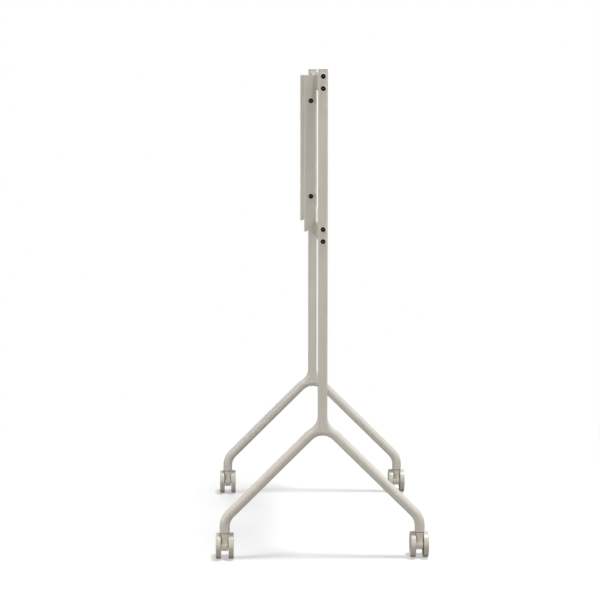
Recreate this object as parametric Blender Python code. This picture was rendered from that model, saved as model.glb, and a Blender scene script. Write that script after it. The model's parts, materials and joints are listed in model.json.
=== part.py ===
# Rolling floor stand for a flat screen.
# Two welded side frames stand on twin-wheel casters. Two cross beams join their posts,
# and two screen rails hang on the beams by folded hooks.
# X runs across the stand, the screen side faces -Y, Z is up and the floor is Z = 0.
# All the casters trail towards -X. The origin lies midway between their wheels, so the
# middle of the stand is one trail to the right of it.
import math

import bmesh
import bpy
from mathutils import Euler, Matrix, Vector

# Overall sizes, in metres
STAND_HEIGHT = 1.453
FRAME_SPACING = 0.820
CASTER_SPREAD = 0.583
SEAT_GAP = 0.0003

# Posts, square tube
POST_SIZE = 0.028
POST_CORNER = 0.0055
POST_WALL = 0.0025
CAP_PLATE = 0.0025
CAP_EDGE = 0.0008
CAP_PLUG_DEPTH = 0.014
CAP_POCKET_SPARE = 0.003

# Legs, round tube bent in the plane of the frame
LEG_DIAMETER = 0.030
LEG_WALL = 0.002
LEG_BEND_RADIUS = 0.058
LEG_RISE = 0.291
FOOT_LENGTH = 0.041
FORK_FILLET = 0.047
FORK_ROOT = 0.75

# Cross beams, rectangular tube
BEAM_HEIGHT = 0.050
BEAM_DEPTH = 0.025
BEAM_CORNER = 0.004
TOP_BEAM_DROP = 0.0385
BEAM_PITCH = 0.4425

# Beam bolts and the raised bosses that they seat on
BOLT_DIAMETER = 0.008
BOLT_HEAD_DIAMETER = 0.014
BOLT_HEAD_HEIGHT = 0.0044
BOLT_SOCKET_FLATS = 0.005
BOLT_SOCKET_DEPTH = 0.0026
BOLT_PITCH = 0.035
BOLT_GRIP = 0.021
BOLT_HOLE_SPARE = 0.003
BOSS_DIAMETER = 0.020
BOSS_SEAT_DIAMETER = 0.0155
BOSS_HEIGHT = 0.0014

# Screen rails, folded channel
RAIL_SPACING = 0.400
RAIL_WIDTH = 0.040
RAIL_DEPTH = 0.030
RAIL_WALL = 0.0025
RAIL_FOLD_RADIUS = 0.004
RAIL_LENGTH = 0.470
RAIL_TOP_RISE = 0.0195
RAIL_NOSE_HEIGHT = 0.059
RELIEF_DEPTH = 0.006
RELIEF_DROP = 0.044
SLOT_WIDTH = 0.0086
SLOT_LENGTH = 0.026
SLOT_OFFSETS = (0.100, 0.150, 0.200)

# Hooks that carry the rails, folded plate
HOOK_PLATE = 0.004
HOOK_EAR = 0.003
HOOK_BEND_RADIUS = 0.002
HOOK_LIP_DROP = 0.015
HOOK_BACK_SPARE = 0.0006
HOOK_EAR_INSET = 0.002
UPPER_EAR_RISE = 0.018
UPPER_EAR_DROP = 0.068
LOWER_EAR_RISE = 0.1115
LOWER_PLATE_DROP = 0.019
LOWER_EAR_TAPER = 0.0645
EAR_CORNER = 0.006

# Rail bolts, with a welded nut inside each ear
RAIL_BOLT_SETBACK = 0.019
UPPER_RAIL_BOLT_DROP = 0.056
LOWER_RAIL_BOLT_RISE = 0.0995
RAIL_BOLT_LENGTH = 0.012
NUT_FLATS = 0.013
NUT_HEIGHT = 0.005

# Casters
WHEEL_DIAMETER = 0.0785
WHEEL_WIDTH = 0.0155
WHEEL_GAP = 0.023
TREAD_DEPTH = 0.0037
TREAD_SHOULDER = 0.0030
TREAD_EDGE = 0.0005
RIM_DEPTH = 0.0045
WEB_RECESS = 0.0022
WEB_THICKNESS = 0.0055
HUB_BOSS_RADIUS = 0.0080
CASTER_TRAIL = 0.012
WHEEL_TOP_CLEARANCE = 0.0035
HOUSING_SIDE_CLEARANCE = 0.0005
HOOD_CLEARANCE = 0.004
HOUSING_NOSE = 0.0105
HOUSING_NOSE_END = 0.049
HOUSING_BROW = 0.004
HOUSING_CHIN = 0.004
HOUSING_COLLAR = 0.0125
HOUSING_FLOOR_CLEARANCE = 0.028
AXLE_BOSS_RADIUS = 0.0105
HOOD_END = math.radians(-4.0)
AXLE_BOSS_START = math.radians(-58.0)
AXLE_DIAMETER = 0.006
AXLE_REACH = 0.010
STEM_DIAMETER = 0.011
STEM_SEAT_DEPTH = 0.0265
STEM_RISE = 0.033
SWIVEL_GAP = 0.001
FLANGE_THICKNESS = 0.0012
FLANGE_INSET = 0.0005
SOCKET_DEPTH = 0.0195
SOCKET_SLEEVE_WALL = 0.0019
SOCKET_SLEEVE_CAP = 0.002
CHAMFER = 0.0008

# Facets
LEG_SIDES = 16
KNEE_STEPS = 4
ARCH_STEPS = 8
FORK_STEPS = 6
CORNER_STEPS = 3
WHEEL_SIDES = 20
HOOD_STEPS = 7
HOUSING_STEPS = 2
PIN_SIDES = 16
BOLT_SIDES = 12
SHARP_ANGLE = math.radians(38.0)
MERGE_DISTANCE = 0.000005

# Turns that lay a piece made along Z across the stand or along its depth
ACROSS = (0, math.pi / 2, 0)
ALONG = (math.pi / 2, 0, 0)

# Places worked out from the sizes above
POST_HALF = POST_SIZE / 2
POST_TOP_Z = STAND_HEIGHT - CAP_PLATE - SEAT_GAP
MIDDLE_X = CASTER_TRAIL
FRAME_X = FRAME_SPACING / 2
LEG_RADIUS = LEG_DIAMETER / 2
LEG_END_Z = WHEEL_DIAMETER + WHEEL_TOP_CLEARANCE
KNEE_Z = LEG_END_Z + FOOT_LENGTH
APEX_Z = KNEE_Z + LEG_RISE
FOOT_Y = CASTER_SPREAD / 2
TOP_BEAM_Z = STAND_HEIGHT - TOP_BEAM_DROP
LOWER_BEAM_Z = TOP_BEAM_Z - BEAM_PITCH
BEAM_HALF_LENGTH = FRAME_X - POST_HALF - SEAT_GAP
BEAM_FRONT_Y = -BEAM_DEPTH / 2
BOLT_HEIGHTS = tuple(
    beam_z + side * BOLT_PITCH / 2 for beam_z in (TOP_BEAM_Z, LOWER_BEAM_Z) for side in (1, -1)
)
HOLE_RADIUS = BOLT_DIAMETER / 2 + SEAT_GAP
BOSS_FACE = POST_HALF + BOSS_HEIGHT
BEAM_BOLT_LENGTH = BOSS_FACE + POST_HALF + 2 * SEAT_GAP + BOLT_GRIP
HOOK_BACK_Y = BEAM_FRONT_Y - SEAT_GAP
HOOK_FRONT_Y = HOOK_BACK_Y - HOOK_PLATE
RAIL_REAR_Y = HOOK_FRONT_Y - SEAT_GAP
RAIL_FRONT_Y = RAIL_REAR_Y - RAIL_DEPTH
RAIL_TOP_Z = TOP_BEAM_Z + RAIL_TOP_RISE
RAIL_BOTTOM_Z = RAIL_TOP_Z - RAIL_LENGTH
RAIL_BOLT_Y = RAIL_FRONT_Y + RAIL_BOLT_SETBACK
UPPER_RAIL_BOLT_Z = TOP_BEAM_Z - UPPER_RAIL_BOLT_DROP
LOWER_RAIL_BOLT_Z = LOWER_BEAM_Z + LOWER_RAIL_BOLT_RISE
SCREEN_CENTRE_Z = (RAIL_TOP_Z + RAIL_BOTTOM_Z) / 2
EAR_OUTSIDE = RAIL_WIDTH / 2 - RAIL_WALL - SEAT_GAP
EAR_FRONT_Y = RAIL_FRONT_Y + RAIL_WALL + HOOK_EAR_INSET
WHEEL_RADIUS = WHEEL_DIAMETER / 2
AXLE_Z = WHEEL_RADIUS * math.cos(math.pi / WHEEL_SIDES)
FLANGE_Z = LEG_END_Z - SEAT_GAP - FLANGE_THICKNESS
HOUSING_TOP_Z = FLANGE_Z - SWIVEL_GAP
HOUSING_HALF = WHEEL_GAP / 2 - HOUSING_SIDE_CLEARANCE
STEM_RADIUS = STEM_DIAMETER / 2
STEM_BORE = STEM_RADIUS + SEAT_GAP
STEM_BOTTOM_Z = HOUSING_TOP_Z - STEM_SEAT_DEPTH
STEM_TOP_Z = LEG_END_Z + STEM_RISE
AXLE_RADIUS = AXLE_DIAMETER / 2
AXLE_BORE = AXLE_RADIUS + SEAT_GAP
AXLE_HALF_LENGTH = WHEEL_GAP / 2 + AXLE_REACH
RIM_RADIUS = WHEEL_RADIUS - TREAD_DEPTH - SEAT_GAP


# Shapes in the plane

def bend(before, corner, after, radius, steps):
    # Stations, each a point and a direction, along the arc that rounds one corner
    into = (corner - before).normalized()
    out = (after - corner).normalized()
    turn = math.atan2(into.x * out.y - into.y * out.x, into.dot(out))
    start = corner - into * radius * math.tan(abs(turn) / 2)
    side = math.copysign(1.0, turn)
    centre = start + Vector((-into.y, into.x)) * side * radius
    stations = []
    for step in range(steps + 1):
        angle = turn * step / steps
        cosine = math.cos(angle)
        sine = math.sin(angle)
        direction = Vector((into.x * cosine - into.y * sine, into.x * sine + into.y * cosine))
        point = centre - Vector((-direction.y, direction.x)) * side * radius
        stations.append((point, direction))
    return stations


def bent_line(corners, radius, corner_steps):
    # Straight runs joined by arcs of one radius
    corners = [Vector(corner) for corner in corners]
    stations = [(corners[0], (corners[1] - corners[0]).normalized())]
    for index, steps in enumerate(corner_steps, start=1):
        stations += bend(corners[index - 1], corners[index], corners[index + 1], radius, steps)
    stations.append((corners[-1], (corners[-1] - corners[-2]).normalized()))
    return stations


def path_points(corners, radius, steps=CORNER_STEPS):
    # The points alone of a bent line
    stations = bent_line(corners, radius, [steps] * (len(corners) - 2))
    return [point for point, direction in stations]


def rounded_outline(corners, radii, steps=CORNER_STEPS):
    # A closed outline, each corner rounded by its own radius or left sharp by 0
    corners = [Vector(corner) for corner in corners]
    outline = []
    for index, (corner, radius) in enumerate(zip(corners, radii)):
        if radius == 0:
            outline.append(corner)
            continue
        after = corners[(index + 1) % len(corners)]
        stations = bend(corners[index - 1], corner, after, radius, steps)
        outline += [point for point, direction in stations]
    return outline


def rounded_rectangle(half_x, half_y, radius, steps=CORNER_STEPS):
    corners = [(-half_x, -half_y), (half_x, -half_y), (half_x, half_y), (-half_x, half_y)]
    return rounded_outline(corners, [radius] * 4, steps)


def arc(centre, radius, start, end, steps):
    # Points on a circle from one angle to another, in radians
    points = []
    for step in range(steps + 1):
        angle = start + (end - start) * step / steps
        points.append(Vector(centre) + radius * Vector((math.cos(angle), math.sin(angle))))
    return points


# Solids from the shapes

def skin(bm, lower, upper):
    # Faces between two rings of vertices, where a ring of one vertex makes a fan
    count = max(len(lower), len(upper))
    for index in range(count):
        after = (index + 1) % count
        if len(lower) == 1:
            bm.faces.new((lower[0], upper[after], upper[index]))
        elif len(upper) == 1:
            bm.faces.new((lower[index], lower[after], upper[0]))
        else:
            bm.faces.new((lower[index], lower[after], upper[after], upper[index]))


def lofted(rings):
    # A solid through rings of equal numbers of points, closed by flat ends
    bm = bmesh.new()
    loops = [[bm.verts.new(point) for point in ring] for ring in rings]
    for lower, upper in zip(loops, loops[1:]):
        skin(bm, lower, upper)
    bm.faces.new(loops[0])
    bm.faces.new(loops[-1])
    return bm


def prism(outline, axis, low, high):
    # A flat outline pushed out along X, Y or Z
    def place(point, level):
        values = [point[0], point[1]]
        values.insert("XYZ".index(axis), level)
        return Vector(values)
    return lofted([[place(point, low) for point in outline], [place(point, high) for point in outline]])


def turned(profile, sides, ring=False):
    # A profile of (radius, height) points turned about Z, with a flat facing each axis.
    # A solid starts and ends on the axis, and a ring's profile closes on itself.
    bm = bmesh.new()
    loops = []
    for radius, height in profile:
        if radius == 0:
            loops.append([bm.verts.new((0.0, 0.0, height))])
            continue
        angles = [2 * math.pi * (side + 0.5) / sides for side in range(sides)]
        loops.append(
            [bm.verts.new((radius * math.cos(a), radius * math.sin(a), height)) for a in angles]
        )
    for lower, upper in zip(loops, loops[1:]):
        skin(bm, lower, upper)
    if ring:
        skin(bm, loops[-1], loops[0])
    return bm


def gathered(shapes):
    # Several separate shapes as one cutting tool, each with its own place and turn
    together = bmesh.new()
    for bm, location, rotation in shapes:
        bm.transform(Matrix.LocRotScale(Vector(location), Euler(rotation), None))
        part = bpy.data.meshes.new("part")
        bm.to_mesh(part)
        bm.free()
        together.from_mesh(part)
        bpy.data.meshes.remove(part)
    return together


def pin_hole(radius, reach):
    # A round cutter that runs the same way both ways from its middle
    return turned([(0, -reach), (radius, -reach), (radius, reach), (0, reach)], BOLT_SIDES)


def swept_tube(stations, radius, sides):
    # A round bar along stations in the YZ plane
    rings = []
    for point, direction in stations:
        ring = []
        for side in range(sides):
            angle = 2 * math.pi * (side + 0.5) / sides
            inward = radius * math.cos(angle)
            ring.append((
                radius * math.sin(angle),
                point.x - direction.y * inward,
                point.y + direction.x * inward,
            ))
        rings.append(ring)
    return lofted(rings)


# Objects

def remove_everything():
    for item in list(bpy.data.objects):
        bpy.data.objects.remove(item, do_unlink=True)


def make_material(name, colour, roughness, metallic):
    material = bpy.data.materials.new(name)
    material.use_nodes = True
    shader = material.node_tree.nodes["Principled BSDF"]
    shader.inputs["Base Color"].default_value = (*colour, 1.0)
    shader.inputs["Roughness"].default_value = roughness
    shader.inputs["Metallic"].default_value = metallic
    return material


def mesh_from(bm, name):
    bmesh.ops.recalc_face_normals(bm, faces=bm.faces)
    mesh = bpy.data.meshes.new(name)
    bm.to_mesh(mesh)
    bm.free()
    return mesh


def add_object(name, mesh, location=(0, 0, 0), rotation=(0, 0, 0), parent=None):
    item = bpy.data.objects.new(name, mesh)
    bpy.context.scene.collection.objects.link(item)
    item.location = location
    item.rotation_euler = rotation
    item.parent = parent
    return item


def add_pivot(name, location, turn=0.0):
    # An empty that carries a moving group on its joint's axis
    pivot = add_object(name, None, location, (0, 0, turn))
    pivot.empty_display_size = 0.03
    return pivot


def combine(body, tool_bm, operation, location=(0, 0, 0), rotation=(0, 0, 0)):
    # Join a shape to a body or cut it out of one
    tool = add_object(body.name + "_tool", mesh_from(tool_bm, "tool"), location, rotation)
    modifier = body.modifiers.new(operation, "BOOLEAN")
    modifier.operation = operation
    modifier.object = tool
    modifier.solver = "EXACT"
    graph = bpy.context.evaluated_depsgraph_get()
    result = bpy.data.meshes.new_from_object(body.evaluated_get(graph))
    body.modifiers.remove(modifier)
    result.name = body.data.name
    body.data = result
    bpy.data.objects.remove(tool, do_unlink=True)


def finish(body, material):
    # Merge the slivers that cutting leaves, shade the round faces smooth and paint the body
    bm = bmesh.new()
    bm.from_mesh(body.data)
    bmesh.ops.remove_doubles(bm, verts=bm.verts, dist=MERGE_DISTANCE)
    bmesh.ops.recalc_face_normals(bm, faces=bm.faces)
    bm.to_mesh(body.data)
    bm.free()
    body.data.shade_smooth()
    body.data.set_sharp_from_angle(angle=SHARP_ANGLE)
    body.data.materials.clear()
    body.data.materials.append(material)
    return body


# Side frames

def fork_rings():
    # Rings down the post and along the fork's fillets. In each plane of constant X the
    # fillet touches the post's side and the crown of the bent leg, so the flare leaves
    # the square post and meets the round tube smoothly.
    slope = math.atan2(LEG_RISE, FOOT_Y)
    arch_z = APEX_Z - LEG_BEND_RADIUS / math.cos(slope)
    corner = POST_HALF - POST_CORNER
    half_profile = [(LEG_RADIUS * math.sin(math.pi / LEG_SIDES), POST_HALF)]
    half_profile += arc((corner, corner), POST_CORNER, math.pi / 2, 0, CORNER_STEPS)
    profile = [(-x, y) for x, y in reversed(half_profile)] + half_profile
    widen = (LEG_RADIUS * math.cos(math.pi / LEG_SIDES) - SEAT_GAP) / POST_HALF

    def closed_ring(points):
        # The other side of the post mirrors this one
        return points + [(x, -y, z) for x, y, z in reversed(points)]

    rings = [closed_ring([(x, y, POST_TOP_Z) for x, y in profile])]
    for step in range(FORK_STEPS + 1):
        share = step / FORK_STEPS
        spread = 1 + (widen - 1) * share
        points = []
        for x, side_y in profile:
            crown = LEG_BEND_RADIUS + math.sqrt(LEG_RADIUS ** 2 - (x * widen) ** 2)
            fillet_y = side_y + FORK_FILLET
            rise = math.sqrt((crown + FORK_FILLET) ** 2 - fillet_y ** 2)
            angle = math.atan2(rise, fillet_y) * share
            points.append((
                x * spread,
                fillet_y - FORK_FILLET * math.cos(angle),
                arch_z + rise - FORK_FILLET * math.sin(angle),
            ))
        rings.append(closed_ring(points))

    # The last ring ends inside the leg tube, on its centre line
    end_angle = math.atan2(rings[-1][len(profile) // 2][2] - arch_z, rings[-1][len(profile) // 2][1])
    end_y = LEG_BEND_RADIUS * math.cos(end_angle)
    end_z = arch_z + LEG_BEND_RADIUS * math.sin(end_angle)
    rings.append(closed_ring([(x * FORK_ROOT, end_y * y / POST_HALF, end_z) for x, y in profile]))
    return rings


def socket_profile(clearance):
    # The stepped plug of a caster socket, from its lower end up, or the pocket that takes it
    sleeve = STEM_BORE + SOCKET_SLEEVE_WALL + clearance
    shoulder = LEG_END_Z + SOCKET_DEPTH + clearance
    tip = STEM_TOP_Z + SEAT_GAP + SOCKET_SLEEVE_CAP + clearance
    plug = LEG_RADIUS - LEG_WALL - SEAT_GAP + clearance
    return [(plug, shoulder), (sleeve, shoulder), (sleeve, tip), (0, tip)]


def make_side_frame(material):
    legs = bent_line(
        [(-FOOT_Y, LEG_END_Z), (-FOOT_Y, KNEE_Z), (0, APEX_Z), (FOOT_Y, KNEE_Z), (FOOT_Y, LEG_END_Z)],
        LEG_BEND_RADIUS,
        [KNEE_STEPS, ARCH_STEPS, KNEE_STEPS],
    )
    tube = swept_tube(legs, LEG_RADIUS, LEG_SIDES)
    frame = add_object("side_frame_right", mesh_from(tube, "side_frame"))
    combine(frame, lofted(fork_rings()), "UNION")
    boss = [(0, 0), (BOSS_DIAMETER / 2, 0), (BOSS_DIAMETER / 2, POST_HALF)]
    boss += [(BOSS_SEAT_DIAMETER / 2, BOSS_FACE), (0, BOSS_FACE)]
    bosses = [(turned(boss, PIN_SIDES), (0, 0, height), ACROSS) for height in BOLT_HEIGHTS]
    combine(frame, gathered(bosses), "UNION")
    holes = [(pin_hole(HOLE_RADIUS, 2 * BOSS_FACE), (0, 0, height), ACROSS) for height in BOLT_HEIGHTS]
    combine(frame, gathered(holes), "DIFFERENCE")
    pocket_half = POST_HALF - POST_WALL
    pocket = prism(
        rounded_rectangle(pocket_half, pocket_half, POST_CORNER - POST_WALL),
        "Z", POST_TOP_Z - CAP_PLUG_DEPTH - CAP_POCKET_SPARE, STAND_HEIGHT,
    )
    combine(frame, pocket, "DIFFERENCE")
    plug = socket_profile(SEAT_GAP)
    bore = [(0, 0), (plug[0][0], 0)] + plug
    bores = [(turned(bore, LEG_SIDES), (0, side * FOOT_Y, 0), (0, 0, 0)) for side in (-1, 1)]
    combine(frame, gathered(bores), "DIFFERENCE")
    return finish(frame, material)


def make_post_cap(material):
    plug_half = POST_HALF - POST_WALL - SEAT_GAP
    plug_corner = POST_CORNER - POST_WALL - SEAT_GAP
    plate_z = STAND_HEIGHT - CAP_PLATE
    sections = [
        (plate_z - CAP_PLUG_DEPTH, plug_half - CHAMFER, plug_corner - CHAMFER),
        (plate_z - CAP_PLUG_DEPTH + CHAMFER, plug_half, plug_corner),
        (plate_z, plug_half, plug_corner),
        (plate_z, POST_HALF, POST_CORNER),
        (STAND_HEIGHT - CAP_EDGE, POST_HALF, POST_CORNER),
        (STAND_HEIGHT, POST_HALF - CAP_EDGE, POST_CORNER - CAP_EDGE),
    ]
    rings = []
    for level, half, corner in sections:
        rings.append([(point.x, point.y, level) for point in rounded_rectangle(half, half, corner)])
    cap = add_object("post_cap_right", mesh_from(lofted(rings), "post_cap"))
    return finish(cap, material)


# Cross beams and their bolts

def make_beam(name, height, material):
    section = rounded_rectangle(BEAM_DEPTH / 2, BEAM_HEIGHT / 2, BEAM_CORNER)
    beam = add_object(name, mesh_from(prism(section, "X", -BEAM_HALF_LENGTH, BEAM_HALF_LENGTH), name))
    holes = []
    for end_x in (-BEAM_HALF_LENGTH, BEAM_HALF_LENGTH):
        for level in (-BOLT_PITCH / 2, BOLT_PITCH / 2):
            holes.append((pin_hole(HOLE_RADIUS, BOLT_GRIP + BOLT_HOLE_SPARE), (end_x, 0, level), ACROSS))
    combine(beam, gathered(holes), "DIFFERENCE")
    beam.location = (MIDDLE_X, 0, height)
    return finish(beam, material)


def make_bolt_mesh(name, length, material):
    # A button head with a hexagon socket, its seat at Z = 0 and its shank running down
    bm = bmesh.new()
    angles = [2 * math.pi * side / BOLT_SIDES for side in range(BOLT_SIDES)]

    def circle(radius, height):
        return [bm.verts.new((radius * math.cos(a), radius * math.sin(a), height)) for a in angles]

    def hexagon(height):
        ring = []
        for a in angles:
            radius = BOLT_SOCKET_FLATS / 2 / math.cos((a % (math.pi / 3)) - math.pi / 6)
            ring.append(bm.verts.new((radius * math.cos(a), radius * math.sin(a), height)))
        return ring

    head = BOLT_HEAD_DIAMETER / 2
    shank = BOLT_DIAMETER / 2
    loops = [
        circle(shank, -length),
        circle(shank, 0),
        circle(head, 0),
        circle(head, BOLT_HEAD_HEIGHT * 0.35),
        circle(head * 0.68, BOLT_HEAD_HEIGHT),
        hexagon(BOLT_HEAD_HEIGHT),
        hexagon(BOLT_HEAD_HEIGHT - BOLT_SOCKET_DEPTH),
    ]
    for lower, upper in zip(loops, loops[1:]):
        skin(bm, lower, upper)
    bm.faces.new(loops[0])
    bm.faces.new(loops[-1])
    sample = add_object(name, mesh_from(bm, name))
    finish(sample, material)
    mesh = sample.data
    bpy.data.objects.remove(sample, do_unlink=True)
    return mesh


def add_beam_bolts(mesh):
    places = ("top_upper", "top_lower", "low_upper", "low_lower")
    for side_name, side in (("right", 1), ("left", -1)):
        seat_x = MIDDLE_X + side * (FRAME_X + BOSS_FACE + SEAT_GAP)
        for place, height in zip(places, BOLT_HEIGHTS):
            name = "beam_bolt_" + side_name + "_" + place
            add_object(name, mesh, (seat_x, 0, height), (0, side * math.pi / 2, 0))


# Screen rails and their hooks. Each is modelled about the middle plane of its rail.

def make_rail(material):
    half = RAIL_WIDTH / 2
    outside = path_points(
        [(-half, RAIL_REAR_Y), (-half, RAIL_FRONT_Y), (half, RAIL_FRONT_Y), (half, RAIL_REAR_Y)],
        RAIL_FOLD_RADIUS,
    )
    inner = half - RAIL_WALL
    inner_y = RAIL_FRONT_Y + RAIL_WALL
    inside = path_points(
        [(inner, RAIL_REAR_Y), (inner, inner_y), (-inner, inner_y), (-inner, RAIL_REAR_Y)],
        RAIL_FOLD_RADIUS - RAIL_WALL,
    )
    section = prism(outside + inside, "Z", RAIL_BOTTOM_Z - SLOT_LENGTH, RAIL_TOP_Z + SLOT_LENGTH)
    rail = add_object("screen_rail_right", mesh_from(section, "screen_rail"))

    # The side view trims the channel: a quarter ellipse below, and a relief for the hook above
    relief_y = RAIL_REAR_Y - RELIEF_DEPTH
    relief_z = TOP_BEAM_Z - RELIEF_DROP
    nose = []
    for step in range(HOOD_STEPS + 1):
        angle = math.pi / 2 * step / HOOD_STEPS
        nose.append((
            RAIL_FRONT_Y + RAIL_DEPTH * math.sin(angle),
            RAIL_BOTTOM_Z + RAIL_NOSE_HEIGHT * (1 - math.cos(angle)),
        ))
    spare_y = RAIL_FRONT_Y - RAIL_DEPTH
    side_view = [(spare_y, RAIL_BOTTOM_Z)] + nose
    side_view[-1] = (RAIL_REAR_Y + RAIL_WALL, side_view[-1][1])
    side_view.append((RAIL_REAR_Y + RAIL_WALL, relief_z - RELIEF_DEPTH))
    side_view.append((RAIL_REAR_Y, relief_z - RELIEF_DEPTH))
    side_view.append((relief_y, relief_z))
    side_view.append((relief_y, RAIL_TOP_Z))
    side_view.append((spare_y, RAIL_TOP_Z))
    combine(rail, prism(side_view, "X", -RAIL_WIDTH, RAIL_WIDTH), "INTERSECT")

    # Slots for the screen's screws
    straight = (SLOT_LENGTH - SLOT_WIDTH) / 2
    upper = arc((0, straight), SLOT_WIDTH / 2, 0, math.pi, 4)
    lower = arc((0, -straight), SLOT_WIDTH / 2, math.pi, 2 * math.pi, 4)
    cuts = []
    for offset in SLOT_OFFSETS:
        for level in (SCREEN_CENTRE_Z - offset, SCREEN_CENTRE_Z + offset):
            slot = prism(upper + lower, "Y", spare_y, RAIL_FRONT_Y + 2 * RAIL_WALL)
            cuts.append((slot, (0, 0, level), (0, 0, 0)))
    for height in (UPPER_RAIL_BOLT_Z, LOWER_RAIL_BOLT_Z):
        cuts.append((pin_hole(HOLE_RADIUS, RAIL_WIDTH), (0, RAIL_BOLT_Y, height), ACROSS))
    combine(rail, gathered(cuts), "DIFFERENCE")
    return finish(rail, material)


def make_hook(name, plate_outline, ear_outline, bolt_z, material):
    # A back plate as wide as the rail, two ears inside the channel and a welded nut on each ear
    half = RAIL_WIDTH / 2
    hook = add_object(name, mesh_from(prism(plate_outline, "X", -half, half), name))
    ear_inside = EAR_OUTSIDE - HOOK_EAR
    nut_end = ear_inside - NUT_HEIGHT
    nut_radius = NUT_FLATS / 2 / math.cos(math.pi / 6)
    for side in (-1, 1):
        combine(hook, prism(ear_outline, "X", side * ear_inside, side * EAR_OUTSIDE), "UNION")
    for side in (-1, 1):
        middle = ear_inside + HOOK_EAR / 2
        nut = turned([(0, nut_end), (nut_radius, nut_end), (nut_radius, middle), (0, middle)], 6)
        combine(hook, nut, "UNION", (0, RAIL_BOLT_Y, bolt_z), (0, side * math.pi / 2, 0))
    combine(hook, pin_hole(HOLE_RADIUS, half), "DIFFERENCE", (0, RAIL_BOLT_Y, bolt_z), ACROSS)
    return finish(hook, material)


def make_upper_hook(material):
    # The plate runs up the beam's front, over its top and down behind it
    beam_top = TOP_BEAM_Z + BEAM_HEIGHT / 2 + SEAT_GAP
    back_y = BEAM_DEPTH / 2 + HOOK_BACK_SPARE
    bottom = TOP_BEAM_Z - UPPER_EAR_DROP
    lip_z = beam_top - HOOK_LIP_DROP
    inner = path_points(
        [(HOOK_BACK_Y, bottom), (HOOK_BACK_Y, beam_top), (back_y, beam_top), (back_y, lip_z)],
        HOOK_BEND_RADIUS,
    )
    far_y = back_y + HOOK_PLATE
    over = beam_top + HOOK_PLATE
    outer = path_points(
        [(far_y, lip_z), (far_y, over), (HOOK_FRONT_Y, over), (HOOK_FRONT_Y, bottom)],
        HOOK_BEND_RADIUS + HOOK_PLATE,
    )
    ear_y = HOOK_BACK_Y - HOOK_PLATE / 2
    top = TOP_BEAM_Z + UPPER_EAR_RISE
    ear = rounded_outline(
        [(EAR_FRONT_Y, bottom + SEAT_GAP), (ear_y, bottom + SEAT_GAP), (ear_y, top), (EAR_FRONT_Y, top)],
        [EAR_CORNER, 0, 0, EAR_CORNER],
    )
    return make_hook("upper_hook_right", inner + outer, ear, UPPER_RAIL_BOLT_Z, material)


def make_lower_hook(material):
    # The plate rests against the front of the lower beam, and its ears taper down to it
    bottom = LOWER_BEAM_Z - LOWER_PLATE_DROP
    top = LOWER_BEAM_Z + LOWER_EAR_RISE
    plate = [(HOOK_FRONT_Y, bottom), (HOOK_BACK_Y, bottom), (HOOK_BACK_Y, top), (HOOK_FRONT_Y, top)]
    ear_y = HOOK_BACK_Y - HOOK_PLATE / 2
    ear_low = bottom + SEAT_GAP
    ear_high = top - SEAT_GAP
    ear = rounded_outline(
        [
            (HOOK_FRONT_Y - HOOK_PLATE, ear_low), (ear_y, ear_low), (ear_y, ear_high),
            (EAR_FRONT_Y, ear_high), (EAR_FRONT_Y, LOWER_BEAM_Z + LOWER_EAR_TAPER),
        ],
        [HOOK_PLATE / 2, 0, 0, EAR_CORNER, EAR_CORNER],
    )
    return make_hook("lower_hook_right", plate, ear, LOWER_RAIL_BOLT_Z, material)


# Casters. Each is modelled about its swivel axis with the wheels trailing towards +X,
# and then turned half round on its pivot.

def make_socket(material):
    profile = [
        (STEM_BORE, FLANGE_Z), (LEG_RADIUS - FLANGE_INSET, FLANGE_Z),
        (LEG_RADIUS - FLANGE_INSET, FLANGE_Z + FLANGE_THICKNESS),
        (LEG_RADIUS - LEG_WALL - SEAT_GAP, FLANGE_Z + FLANGE_THICKNESS),
    ]
    bore_top = STEM_TOP_Z + SEAT_GAP
    bm = turned([(0, bore_top), (STEM_BORE, bore_top)] + profile + socket_profile(0), LEG_SIDES)
    socket = add_object("socket", mesh_from(bm, "caster_socket"))
    return take_mesh(finish(socket, material))


def make_stem(material):
    profile = [(0, STEM_BOTTOM_Z), (STEM_RADIUS, STEM_BOTTOM_Z), (STEM_RADIUS, STEM_TOP_Z), (0, STEM_TOP_Z)]
    stem = add_object("stem", mesh_from(turned(profile, PIN_SIDES), "caster_stem"))
    return take_mesh(finish(stem, material))


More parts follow.
